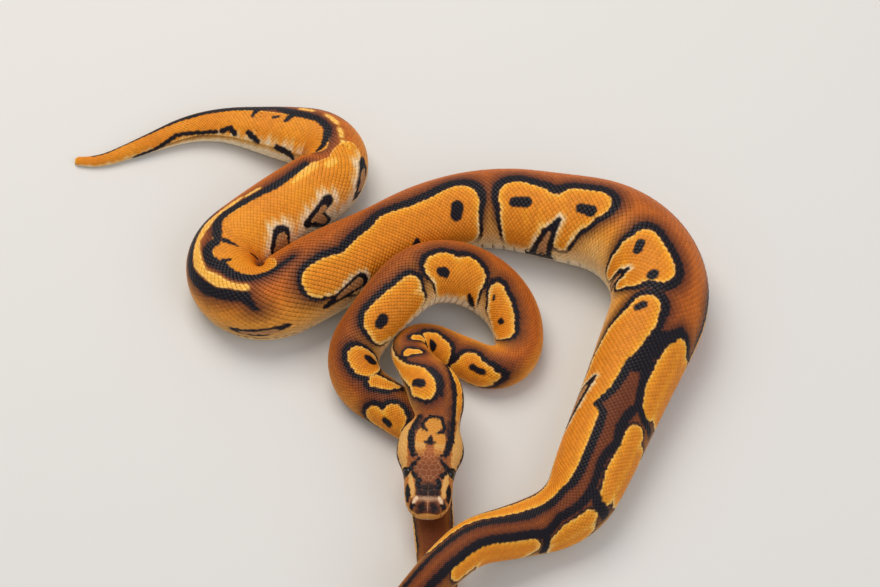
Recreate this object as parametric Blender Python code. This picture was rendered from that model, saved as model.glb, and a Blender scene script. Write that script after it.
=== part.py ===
"""Ball python, life size, lying loosely coiled with its head at rest on its own body.

The body is one tube swept along BENDS, from the snout to the tip of the tail, and cut across
into named lengths. Its section is a round back over a flattened belly. The head is the same
tube with the heights and widths of HEAD. Sizes are millimetres until a mesh is made.
"""

import math

import bmesh
import bpy
import numpy as np

MM = 0.001
GAP = 0.3                 # between two lengths, and between an eye and its socket

# The route from above, from the snout to the tip of the tail. Each bend is an arc round a centre
# x, y. Its radius is positive where the body turns to its own left. Straight lines that touch
# both arcs join one bend to the next, and the two ends are bends of no radius.
BENDS = (
    ("snout", -5.5, -132.5, 0),
    ("nape", 15.5, -101.5, -20),
    ("neck", -29.5, -81.5, 29),
    ("fold", -5, -43, -9.5),
    ("ring right", 24, -33, 13),
    ("ring top", 7, -31, 30),
    ("ring left", -23, -46, 17),
    ("under the neck", -19, -86, -13),
    ("front loop", -15, -204, -18),
    ("crossing", 40, -176, -40),
    ("right foot", 38.5, -101, 29),
    ("right", 60, -12, 43),
    ("top", 24, -39, 78),
    ("left", -83, 5.5, -19),
    ("vent", -68, 67, 17),
    ("tail", -111, 40, 55),
    ("tail end", -172, 106, -30),
    ("tip", -180, 77, 0),
)
EASE = 3.0                # length over which a line and an arc run into one another

# Widths of the body at distances along the route.
WIDTHS = (
    (0, 21), (47, 21), (60, 24.5), (75, 20), (90, 17), (108, 16), (125, 19), (155, 22),
    (180, 26), (220, 30), (260, 25.5), (295, 23), (330, 20.5), (370, 18.5), (560, 18.5),
    (590, 22), (620, 27), (650, 34), (690, 38.5), (755, 46), (800, 45), (850, 39.5), (895, 35.5),
    (915, 36), (950, 40), (985, 36.5), (1030, 37), (1065, 36), (1092, 33), (1114, 30),
    (1134, 25), (1156, 18), (1178, 13), (1200, 9), (1222, 6), (1243, 3),
)

# Heights of the belly above the floor at distances along the route, where a length of the body
# lies on another. It is on the floor between one rise and the next.
RISES = (
    ((0, 17), (40, 20), (58, 20.7), (75, 17), (95, 11), (112, 4.5), (135, 0)),
    ((165, 0), (185, 2.5), (212, 9.5), (238, 13.8), (258, 11.5), (275, 5), (295, 0)),
    ((495, 0), (515, 3), (540, 14), (560, 18.8), (580, 15.6), (600, 7), (622, 0)),
)

# The named lengths, with the distance down the body where each ends.
LENGTHS = (
    ("head", 46), ("neck", 94), ("neck_fold", 126), ("trunk_01", 155), ("trunk_02", 190),
    ("trunk_03", 255), ("trunk_04", 310), ("trunk_05", 360), ("trunk_06", 440),
    ("trunk_07", 520), ("trunk_08", 595), ("trunk_09", 655), ("trunk_10", 720),
    ("trunk_11", 770), ("trunk_12", 840), ("trunk_13", 910), ("trunk_14", 980),
    ("trunk_15", 1035), ("trunk_16", 1090), ("trunk_17", 1145), ("tail", None),
)

TALL = 0.86               # height of the body for its width
BACK_ROUND = 2.0          # power of the rounded back: 2 is an ellipse
BELLY_ROUND = 2.5         # power of the belly: squarer, so that it lies flat
BELLY_CUT = 0.96          # share of the half height that the flat of the belly is down
PRESSED = 0.4             # how far the resting belly is pressed on to the floor
TIGHTEST = 0.88           # the inner side of a bend keeps to this share of its radius
BEND_BLUR = 5.0           # length over which the flesh evens out a bend

# Down the head from the snout: distance, half width, then the chin, the widest level and the
# crown above the line of the chin, then the power that squares off the crown.
HEAD = (
    (0.0, 0.0, 4.2, 4.6, 5.2, 2.2),
    (1.2, 5.6, 2.0, 4.6, 7.6, 2.3),
    (2.8, 7.4, 1.0, 4.6, 8.7, 2.4),
    (5.2, 9.1, 0.4, 4.8, 9.7, 2.5),
    (10.2, 10.4, 0.0, 5.0, 10.9, 2.6),
    (15.8, 10.9, 0.0, 5.2, 12.0, 2.6),
    (21.8, 11.6, 0.0, 5.4, 13.2, 2.6),
    (25.5, 13.2, 0.0, 5.6, 14.0, 2.5),
    (29.5, 14.8, 0.0, 5.9, 14.7, 2.4),
    (34.0, 15.0, 0.0, 6.4, 15.4, 2.3),
    (39.5, 13.7, 0.0, 7.2, 16.2, 2.2),
    (45.0, 10.6, 0.2, 8.2, 17.3, 2.1),
    (52.0, 11.35, -0.1, 9.25, 19.0, 2.0),
)
HEAD_AXIS = 9.25          # the swept line's height above the line of the chin

EYE_RADIUS = 2.9
EYE_BACK = 21.0           # from the snout to the middle of the eye
EYE_OUT = 8.6             # from the middle of the head to the middle of the eye
EYE_UP = 7.9              # from the line of the chin to the middle of the eye

AROUND = 22               # points round a section
STEP = 8.4                # between sections along the body
HEAD_STEP = 3.0           # between sections along the head
FINE = 0.5                # between samples of the route


def clear_scene():
    for item in list(bpy.data.objects):
        bpy.data.objects.remove(item)


def hide(name, colour, rough):
    """Scaled skin, or the wet surface of an eye, as one plain Principled material."""
    material = bpy.data.materials.new(name)
    material.use_nodes = True
    shader = material.node_tree.nodes["Principled BSDF"]
    shader.inputs["Base Color"].default_value = (*colour, 1.0)
    shader.inputs["Roughness"].default_value = rough
    shader.inputs["Metallic"].default_value = 0.0
    return material


def smooth_through(knots, values, at):
    """The natural cubic curve through values at knots, read at the places at."""
    count = len(knots)
    span = np.diff(knots)
    slope = np.diff(values, axis=0) / span[:, None]
    system = np.eye(count)
    right = np.zeros_like(values)
    for i in range(1, count - 1):
        system[i, i - 1:i + 2] = span[i - 1], 2 * (span[i - 1] + span[i]), span[i]
        right[i] = 6 * (slope[i] - slope[i - 1])
    bend = np.linalg.solve(system, right)
    k = np.clip(np.searchsorted(knots, at, side="right") - 1, 0, count - 2)
    before, after = (at - knots[k])[:, None], (knots[k + 1] - at)[:, None]
    width = span[k][:, None]
    return ((bend[k] * after ** 3 + bend[k + 1] * before ** 3) / (6 * width)
            + (values[k] / width - bend[k] * width / 6) * after
            + (values[k + 1] / width - bend[k + 1] * width / 6) * before)


def distance_along(points):
    """How far along the line of points each of them is."""
    return np.concatenate([[0.0], np.cumsum(np.linalg.norm(np.diff(points, axis=0), axis=1))])


def even_out(values, length):
    """Values every FINE mm along a line, each blended with those within a length either way."""
    reach = int(4 * length / FINE)
    weight = np.exp(-0.5 * (np.arange(-reach, reach + 1) * FINE / length) ** 2)
    padded = np.pad(values, reach, mode="reflect", reflect_type="odd")
    return np.convolve(padded, weight / weight.sum(), mode="valid")


def route_from_above():
    """Points every FINE mm along the arcs of BENDS and the lines that touch them."""
    centre = np.array([bend[1:3] for bend in BENDS], float)
    radius = np.array([bend[3] for bend in BENDS], float)
    step = np.diff(centre, axis=0)
    heading = np.arctan2(step[:, 1], step[:, 0])
    heading -= np.arcsin(np.diff(radius) / np.linalg.norm(step, axis=1))
    points = [centre[:1]]
    for i in range(1, len(BENDS) - 1):
        way = np.sign(radius[i])
        turn = way * ((way * (heading[i] - heading[i - 1])) % (2 * math.pi))
        angle = heading[i - 1] + np.linspace(0, turn, max(3, int(abs(turn * radius[i]))))
        points.append(centre[i] + radius[i] * np.column_stack([np.sin(angle), -np.cos(angle)]))
    points = np.concatenate(points + [centre[-1:]])
    along = distance_along(points)
    s = np.arange(0, along[-1], FINE)
    return s, np.column_stack([even_out(np.interp(s, along, points[:, i]), EASE)
                               for i in range(2)])


def profile(rows, at):
    """A smooth curve through rows of place and value, level beyond them."""
    places, values = np.array(rows, float).T
    at = np.clip(at, places[0], places[-1])
    return smooth_through(places, values[:, None], at)[:, 0]


def swept_line():
    """The body's middle line every FINE mm: where it is, which way it runs, how wide and bent."""
    s, points = route_from_above()
    width = profile(WIDTHS, s)
    rise = even_out(sum(np.maximum(profile(rows, s), 0.0) for rows in RISES), EASE)
    points = np.column_stack([points, rise + width / 2 * TALL * BELLY_CUT - PRESSED])
    along = distance_along(points)
    s = np.arange(0, along[-1], FINE)
    middle = np.column_stack([np.interp(s, along, points[:, i]) for i in range(3)])
    ahead = np.gradient(middle, axis=0)
    ahead /= np.linalg.norm(ahead, axis=1)[:, None]
    side = np.cross(ahead, (0.0, 0.0, 1.0))
    side /= np.linalg.norm(side, axis=1)[:, None]
    turn = np.gradient(np.unwrap(np.arctan2(ahead[:, 1], ahead[:, 0])), FINE)
    line = {"s": s, "middle": middle, "ahead": ahead, "side": side,
            "turn": even_out(turn, BEND_BLUR), "up": np.cross(side, ahead),
            "width": np.interp(s, along, width)}
    rings = sections(line, s).reshape(-1, 3)
    middle[:, :2] -= (rings.min(axis=0) + rings.max(axis=0))[:2] / 2
    return line


def sections(line, s):
    """Rings of points round the body at the distances s, as an array ring x point x 3."""
    def read(name):
        values = line[name]
        if values.ndim == 1:
            return np.interp(s, line["s"], values)
        return np.column_stack([np.interp(s, line["s"], values[:, i]) for i in range(3)])

    half = read("width") / 2
    low, level, high = -BELLY_CUT * TALL * half, 0 * half, TALL * half
    crown = BACK_ROUND + 0 * half
    table = np.array(HEAD)
    on_head = s < table[-1, 0]
    rows = smooth_through(np.sqrt(table[:, 0]), table[:, 1:], np.sqrt(s[on_head]))
    half[on_head] = rows[:, 0]
    low[on_head], level[on_head], high[on_head] = (rows[:, 1:4] - HEAD_AXIS).T
    crown[on_head] = rows[:, 4]

    turn = read("turn")
    inner = half * (1 + (half * np.abs(turn) / TIGHTEST) ** 6) ** (-1 / 6)
    right = np.where(turn < 0, inner, half)
    left = np.where(turn > 0, inner, half)

    angle = np.linspace(0, 2 * math.pi, AROUND, endpoint=False)
    across, rise = np.sin(angle), np.cos(angle)
    over = rise > 0
    power = np.where(over[None], crown[:, None], BELLY_ROUND)
    x = np.sign(across) * np.abs(across) ** (2 / power)
    x *= np.where(across > 0, right[:, None], left[:, None])
    tall = np.where(over[None], (high - level)[:, None], (level - low)[:, None] / BELLY_CUT)
    z = level[:, None] + np.sign(rise) * np.abs(rise) ** (2 / power) * tall
    z = np.maximum(z, low[:, None])
    rings = (read("middle")[:, None] + x[..., None] * read("side")[:, None]
             + z[..., None] * read("up")[:, None])
    rings[..., 2] = np.maximum(rings[..., 2], 0.0)
    return rings


def closed_tube(name, rings, pointed):
    """A closed mesh through the rings, with flat ends, and a first ring gathered to a point."""
    mesh = bmesh.new()
    loops = [[mesh.verts.new(point * MM) for point in ring] for ring in rings]
    count = len(loops[0])
    for near, far in zip(loops, loops[1:]):
        for i in range(count):
            j = (i + 1) % count
            mesh.faces.new((near[i], far[i], far[j], near[j]))
    mesh.faces.new(loops[0])
    mesh.faces.new(reversed(loops[-1]))
    if pointed:
        bmesh.ops.pointmerge(mesh, verts=loops[0], merge_co=rings[0].mean(axis=0) * MM)
    bmesh.ops.recalc_face_normals(mesh, faces=mesh.faces)
    data = bpy.data.meshes.new(name)
    mesh.to_mesh(data)
    mesh.free()
    piece = bpy.data.objects.new(name, data)
    bpy.context.scene.collection.objects.link(piece)
    data.shade_smooth()
    data.set_sharp_from_angle(angle=math.radians(50))
    return piece


def length_of_body(line, number, step, finish):
    """One named length, from its cut at the front to its cut at the back."""
    name, back = LENGTHS[number]
    front = LENGTHS[number - 1][1] + GAP / 2 if number else 0.0
    back = back - GAP / 2 if back else line["s"][-1]
    s = np.linspace(front, back, max(3, round((back - front) / step) + 1))
    if name == "head":
        s = np.concatenate([[0.0, 0.5, 1.2, 2.8], np.arange(5.2, back - 1.5, step), [back]])
    piece = closed_tube(name, sections(line, s), pointed=name == "head")
    piece.data.materials.append(finish)
    return piece


def at_head(line, back, out, up):
    """A place on the head: mm back from the snout, out to the right and up from the chin."""
    i = int(back / FINE)
    return (line["middle"][i] + out * line["side"][i] + (up - HEAD_AXIS) * line["up"][i])


def ball(name, centre, radius):
    mesh = bmesh.new()
    bmesh.ops.create_uvsphere(mesh, u_segments=16, v_segments=10, radius=radius * MM)
    data = bpy.data.meshes.new(name)
    mesh.to_mesh(data)
    mesh.free()
    data.shade_smooth()
    piece = bpy.data.objects.new(name, data)
    bpy.context.scene.collection.objects.link(piece)
    piece.location = centre * MM
    return piece


def eyes(line, head, finish):
    """Two eyeballs, each in a socket cut into the head."""
    for name, out in (("eye_left", -EYE_OUT), ("eye_right", EYE_OUT)):
        centre = at_head(line, EYE_BACK, out, EYE_UP)
        eye = ball(name, centre, EYE_RADIUS)
        eye.data.materials.append(finish)
        cutter = ball(name + "_socket", centre, EYE_RADIUS + GAP)
        cutter.hide_render = True
        cutter.display_type = "WIRE"
        socket = head.modifiers.new(name + "_socket", "BOOLEAN")
        socket.operation = "DIFFERENCE"
        socket.solver = "EXACT"
        socket.object = cutter


def main():
    clear_scene()
    line = swept_line()
    skin = hide("scaled_skin", (0.62, 0.27, 0.05), 0.45)
    head_skin = hide("head_skin", (0.38, 0.15, 0.05), 0.45)
    tail_skin = hide("tail_skin", (0.68, 0.36, 0.10), 0.45)
    eye_surface = hide("eye_surface", (0.015, 0.010, 0.008), 0.08)
    pieces = {}
    for number, (name, _) in enumerate(LENGTHS):
        finish = {"head": head_skin, "tail": tail_skin}.get(name, skin)
        step = HEAD_STEP if name == "head" else STEP
        pieces[name] = length_of_body(line, number, step, finish)
    eyes(line, pieces["head"], eye_surface)


main()
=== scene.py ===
"""Ball python, life size, lying loosely coiled: skin, scales, belly plates, head and eyes.

The body is a tube swept along a route of arcs. Every surface here is read from one function of
two places: s, how far down the body from the snout, and g, how far round it from its uppermost
line, as a share of its girth from -0.5 to 0.5. Sizes are millimetres until a mesh is made.
"""
import math

import bmesh
import bpy
import numpy as np
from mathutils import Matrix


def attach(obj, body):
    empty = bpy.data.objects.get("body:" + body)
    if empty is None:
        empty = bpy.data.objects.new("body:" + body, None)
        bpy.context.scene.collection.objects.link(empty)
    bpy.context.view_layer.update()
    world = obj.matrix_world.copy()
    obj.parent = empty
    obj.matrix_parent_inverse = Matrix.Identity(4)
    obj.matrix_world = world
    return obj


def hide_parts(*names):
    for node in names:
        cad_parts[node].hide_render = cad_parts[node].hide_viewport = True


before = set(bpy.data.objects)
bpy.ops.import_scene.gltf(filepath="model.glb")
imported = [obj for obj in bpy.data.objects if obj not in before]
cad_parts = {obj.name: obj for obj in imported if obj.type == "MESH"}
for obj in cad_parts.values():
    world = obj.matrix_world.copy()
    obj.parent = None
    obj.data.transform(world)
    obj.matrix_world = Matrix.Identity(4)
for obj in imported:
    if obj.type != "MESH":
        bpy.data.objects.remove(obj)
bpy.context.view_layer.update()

MM = 0.001
rng = np.random.default_rng(27)

# ---------------------------------------------------------------- the body's line and section

# The route from above. Each bend is an arc round a centre x, y. Its radius is positive where
# the body turns to its own left. Straight lines that touch both arcs join them.
BENDS = (
    ("snout", -5.5, -132.5, 0),
    ("nape", 15.5, -101.5, -20),
    ("neck", -29.5, -81.5, 29),
    ("fold", -5, -43, -9.5),
    ("ring right", 24, -33, 13),
    ("ring top", 7, -31, 30),
    ("ring left", -23, -46, 17),
    ("under the neck", -19, -86, -13),
    ("front loop", -15, -204, -18),
    ("crossing", 40, -176, -40),
    ("right foot", 38.5, -101, 29),
    ("right", 60, -12, 43),
    ("top", 24, -39, 78),
    ("left", -83, 5.5, -19),
    ("vent", -68, 67, 17),
    ("tail", -111, 40, 55),
    ("tail end", -172, 106, -30),
    ("tip", -180, 77, 0),
)
EASE = 3.0                # mm over which the route's corners and rises are blended
# The body's width at s.
WIDTHS = (
    (0, 21), (47, 21), (60, 24.5), (75, 20), (90, 17), (108, 16), (125, 19), (155, 22),
    (180, 26), (220, 30), (260, 25.5), (295, 23), (330, 20.5), (370, 18.5), (560, 18.5),
    (590, 22), (620, 27), (650, 34), (690, 38.5), (755, 46), (800, 45), (850, 39.5), (895, 35.5),
    (915, 36), (950, 40), (985, 36.5), (1030, 37), (1065, 36), (1092, 33), (1114, 30),
    (1134, 25), (1156, 18), (1178, 13), (1200, 9), (1222, 6), (1243, 3),
)
# How far the lengths that lie over others are lifted off the floor at s.
RISES = (
    ((0, 17), (40, 20), (58, 20.7), (75, 17), (95, 11), (112, 4.5), (135, 0)),
    ((165, 0), (185, 2.5), (212, 9.5), (238, 13.8), (258, 11.5), (275, 5), (295, 0)),
    ((495, 0), (515, 3), (540, 14), (560, 18.8), (580, 15.6), (600, 7), (622, 0)),
)
TALL = 0.86               # half the height, as a share of half the width
BACK_ROUND = 2.0          # power of the curve over the back: 2 is an ellipse, more is squarer
BELLY_ROUND = 2.5         # the same for the belly
BELLY_CUT = 0.96          # the belly is flat below this share of its depth
PRESSED = 0.4             # mm by which the belly is pressed flatter against the floor
TIGHTEST = 0.88           # the inner side keeps within this share of a bend's radius
BEND_BLUR = 5.0           # mm over which the sharpness of a bend is evened out
# The head at s: half its width, the heights of its chin, its widest level and its crown, and
# the power of the curve over its crown.
HEAD = (
    (0.0, 0.0, 4.2, 4.6, 5.2, 2.2),
    (1.2, 5.6, 2.0, 4.6, 7.6, 2.3),
    (2.8, 7.4, 1.0, 4.6, 8.7, 2.4),
    (5.2, 9.1, 0.4, 4.8, 9.7, 2.5),
    (10.2, 10.4, 0.0, 5.0, 10.9, 2.6),
    (15.8, 10.9, 0.0, 5.2, 12.0, 2.6),
    (21.8, 11.6, 0.0, 5.4, 13.2, 2.6),
    (25.5, 13.2, 0.0, 5.6, 14.0, 2.5),
    (29.5, 14.8, 0.0, 5.9, 14.7, 2.4),
    (34.0, 15.0, 0.0, 6.4, 15.4, 2.3),
    (39.5, 13.7, 0.0, 7.2, 16.2, 2.2),
    (45.0, 10.6, 0.2, 8.2, 17.3, 2.1),
    (52.0, 11.35, -0.1, 9.25, 19.0, 2.0),
)
HEAD_AXIS = 9.25          # height of the middle line in those heights
EYE_RADIUS = 2.9
EYE_BACK = 21.0           # the eye's middle: back from the snout, out from the middle line and
EYE_OUT = 8.6             # up in the heights of HEAD
EYE_UP = 7.9
SIGHT = (0.28, 0.86, 0.42)  # an eye looks this much forwards, outwards and up
FINE = 0.5                # spacing of the line's points
COAT = 0.45               # depth of the scales over the skin
UNDER_PLATES = 0.9        # depth of the skin under the head's plates
NAPE = HEAD[-1][0]        # where the head's plates end
AROUND = 240              # samples round each section of the surface table


def smooth_through(knots, values, at):
    """The natural cubic curve through values at knots, read at the places at."""
    count = len(knots)
    span = np.diff(knots)
    slope = np.diff(values, axis=0) / span[:, None]
    system = np.eye(count)
    right = np.zeros_like(values)
    for i in range(1, count - 1):
        system[i, i - 1:i + 2] = span[i - 1], 2 * (span[i - 1] + span[i]), span[i]
        right[i] = 6 * (slope[i] - slope[i - 1])
    bend = np.linalg.solve(system, right)
    k = np.clip(np.searchsorted(knots, at, side="right") - 1, 0, count - 2)
    before, after = (at - knots[k])[:, None], (knots[k + 1] - at)[:, None]
    width = span[k][:, None]
    return ((bend[k] * after ** 3 + bend[k + 1] * before ** 3) / (6 * width)
            + (values[k] / width - bend[k] * width / 6) * after
            + (values[k + 1] / width - bend[k + 1] * width / 6) * before)


def held(x):
    """x kept between 0 and 1."""
    return np.clip(x, 0, 1)


def rising(x, start, length):
    """0 up to start, 1 from start + length on, and a straight slope between."""
    return held((x - start) / length)


def falling(x, end, length):
    """1 up to end - length, 0 from end on, and a straight slope between."""
    return held((end - x) / length)


def stacked(*parts):
    """The parts side by side in a new last axis, each spread over the others' shape."""
    return np.stack(np.broadcast_arrays(*parts), axis=-1)


def distance_along(points):
    """How far along the line of points each of them is."""
    return np.concatenate([[0.0], np.cumsum(np.linalg.norm(np.diff(points, axis=0), axis=1))])


def even_out(values, length):
    """Values every FINE mm along a line, each blended with those within a length either way."""
    reach = int(4 * length / FINE)
    weight = np.exp(-0.5 * (np.arange(-reach, reach + 1) * FINE / length) ** 2)
    padded = np.pad(values, reach, mode="reflect", reflect_type="odd")
    return np.convolve(padded, weight / weight.sum(), mode="valid")


def route_from_above():
    """Points every FINE mm along the arcs of BENDS and the lines that touch them."""
    centre = np.array([bend[1:3] for bend in BENDS], float)
    radius = np.array([bend[3] for bend in BENDS], float)
    step = np.diff(centre, axis=0)
    heading = np.arctan2(step[:, 1], step[:, 0])
    heading -= np.arcsin(np.diff(radius) / np.linalg.norm(step, axis=1))
    points = [centre[:1]]
    for i in range(1, len(BENDS) - 1):
        way = np.sign(radius[i])
        turn = way * ((way * (heading[i] - heading[i - 1])) % (2 * math.pi))
        angle = heading[i - 1] + np.linspace(0, turn, max(3, int(abs(turn * radius[i]))))
        points.append(centre[i] + radius[i] * np.column_stack([np.sin(angle), -np.cos(angle)]))
    points = np.concatenate(points + [centre[-1:]])
    along = distance_along(points)
    s = np.arange(0, along[-1], FINE)
    return s, np.column_stack([even_out(np.interp(s, along, points[:, i]), EASE)
                               for i in range(2)])


def profile(rows, at):
    """A smooth curve through rows of place and value, level beyond them."""
    places, values = np.array(rows, float).T
    at = np.clip(at, places[0], places[-1])
    return smooth_through(places, values[:, None], at)[:, 0]


def swept_line():
    """The body's middle line every FINE mm: where it is, which way it runs, how wide and bent."""
    s, points = route_from_above()
    width = profile(WIDTHS, s)
    rise = even_out(sum(np.maximum(profile(rows, s), 0.0) for rows in RISES), EASE)
    points = np.column_stack([points, rise + width / 2 * TALL * BELLY_CUT - PRESSED])
    along = distance_along(points)
    s = np.arange(0, along[-1], FINE)
    middle = np.column_stack([np.interp(s, along, points[:, i]) for i in range(3)])
    ahead = np.gradient(middle, axis=0)
    ahead /= np.linalg.norm(ahead, axis=1)[:, None]
    side = np.cross(ahead, (0.0, 0.0, 1.0))
    side /= np.linalg.norm(side, axis=1)[:, None]
    turn = np.gradient(np.unwrap(np.arctan2(ahead[:, 1], ahead[:, 0])), FINE)
    line = {"s": s, "middle": middle, "ahead": ahead, "side": side,
            "turn": even_out(turn, BEND_BLUR), "up": np.cross(side, ahead),
            "width": np.interp(s, along, width)}
    rings = sections(line, s).reshape(-1, 3)
    middle[:, :2] -= (rings.min(axis=0) + rings.max(axis=0))[:2] / 2
    return line


def sections(line, s):
    """Rings of points round the body at the distances s, as an array ring x point x 3."""
    def read(name):
        """One measure of the line at the distances s."""
        values = line[name]
        if values.ndim == 1:
            return np.interp(s, line["s"], values)
        return np.column_stack([np.interp(s, line["s"], values[:, i]) for i in range(3)])

    half = read("width") / 2
    low, level, high = -BELLY_CUT * TALL * half, 0 * half, TALL * half
    crown = BACK_ROUND + 0 * half
    table = np.array(HEAD)
    on_head = s < table[-1, 0]
    rows = smooth_through(np.sqrt(table[:, 0]), table[:, 1:], np.sqrt(s[on_head]))
    half[on_head] = rows[:, 0]
    low[on_head], level[on_head], high[on_head] = (rows[:, 1:4] - HEAD_AXIS).T
    crown[on_head] = rows[:, 4]

    turn = read("turn")
    inner = half * (1 + (half * np.abs(turn) / TIGHTEST) ** 6) ** (-1 / 6)
    right = np.where(turn < 0, inner, half)
    left = np.where(turn > 0, inner, half)

    angle = np.linspace(0, 2 * math.pi, AROUND, endpoint=False)
    across, rise = np.sin(angle), np.cos(angle)
    over = rise > 0
    power = np.where(over[None], crown[:, None], BELLY_ROUND)
    x = np.sign(across) * np.abs(across) ** (2 / power)
    x *= np.where(across > 0, right[:, None], left[:, None])
    tall = np.where(over[None], (high - level)[:, None], (level - low)[:, None] / BELLY_CUT)
    z = level[:, None] + np.sign(rise) * np.abs(rise) ** (2 / power) * tall
    z = np.maximum(z, low[:, None])
    rings = (read("middle")[:, None] + x[..., None] * read("side")[:, None]
             + z[..., None] * read("up")[:, None])
    rings[..., 2] = np.maximum(rings[..., 2], 0.0)
    return rings


def surface_table(line):
    """The body's surface at each s of the line and at even shares g of its girth.

    Each ring is walked from its uppermost point right round, and read again at even steps of
    the way walked. The outward direction is the cross product of the steps round and down.
    """
    s = line["s"]
    rings = sections(line, s)
    loop = np.concatenate([rings, rings[:, :1]], axis=1)
    steps = np.linalg.norm(np.diff(loop, axis=1), axis=2)
    walked = np.concatenate([np.zeros((len(s), 1)), np.cumsum(steps, axis=1)], axis=1)
    girth = np.maximum(walked[:, -1], 0.05)
    share = np.linspace(-0.5, 0.5, AROUND + 1)
    where = np.mod(share, 1.0)
    where[-1] = where[0]
    points = np.empty((len(s), AROUND + 1, 3))
    for i in range(len(s)):
        for axis in range(3):
            points[i, :, axis] = np.interp(where, walked[i] / girth[i], loop[i, :, axis])
    down = np.gradient(points, axis=0)
    wrapped = np.concatenate([points[:, -2:-1], points, points[:, 1:2]], axis=1)
    round_ = wrapped[:, 2:] - wrapped[:, :-2]
    out = np.cross(down, round_)
    away = points - points[:, :-1].mean(axis=1, keepdims=True)
    out *= np.sign((out * away).sum(axis=2, keepdims=True).sum(axis=1, keepdims=True) + 1e-12)
    out /= np.linalg.norm(out, axis=2, keepdims=True) + 1e-9
    out[0] = -line["ahead"][0]
    return {"s": s, "girth": girth, "points": points, "out": out}


def wrapped_round(g):
    """A share of the girth brought back between -0.5 and 0.5."""
    return np.mod(g + 0.5, 1.0) - 0.5


def girth_at(table, s):
    """The body's girth at the distances s."""
    return np.interp(s, table["s"], table["girth"])


def read_surface(table, s, g, lift):
    """Places at s down and g round the body, lift mm out from the surface, never under z = 0."""
    g = np.mod(g + 0.5, 1.0)
    i = np.clip(s / FINE, 0, len(table["s"]) - 1.001)
    j = np.clip(g * AROUND, 0, AROUND - 0.001)
    i0, j0 = i.astype(int), j.astype(int)
    di, dj = (i - i0)[..., None], (j - j0)[..., None]

    def blend(grid):
        """A grid's values, mixed from the four nearest points."""
        near = grid[i0, j0] * (1 - dj) + grid[i0, j0 + 1] * dj
        far = grid[i0 + 1, j0] * (1 - dj) + grid[i0 + 1, j0 + 1] * dj
        return near * (1 - di) + far * di

    place = blend(table["points"]) + np.asarray(lift)[..., None] * blend(table["out"])
    place[..., 2] = np.maximum(place[..., 2], 0.0)
    return place


# ---------------------------------------------------------------- the markings
# Every mark is a chain of round-ended strokes. A point of a stroke is (s, v, r): s mm down the
# body, v mm round it from the uppermost line, and r the stroke's half width there.

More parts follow.
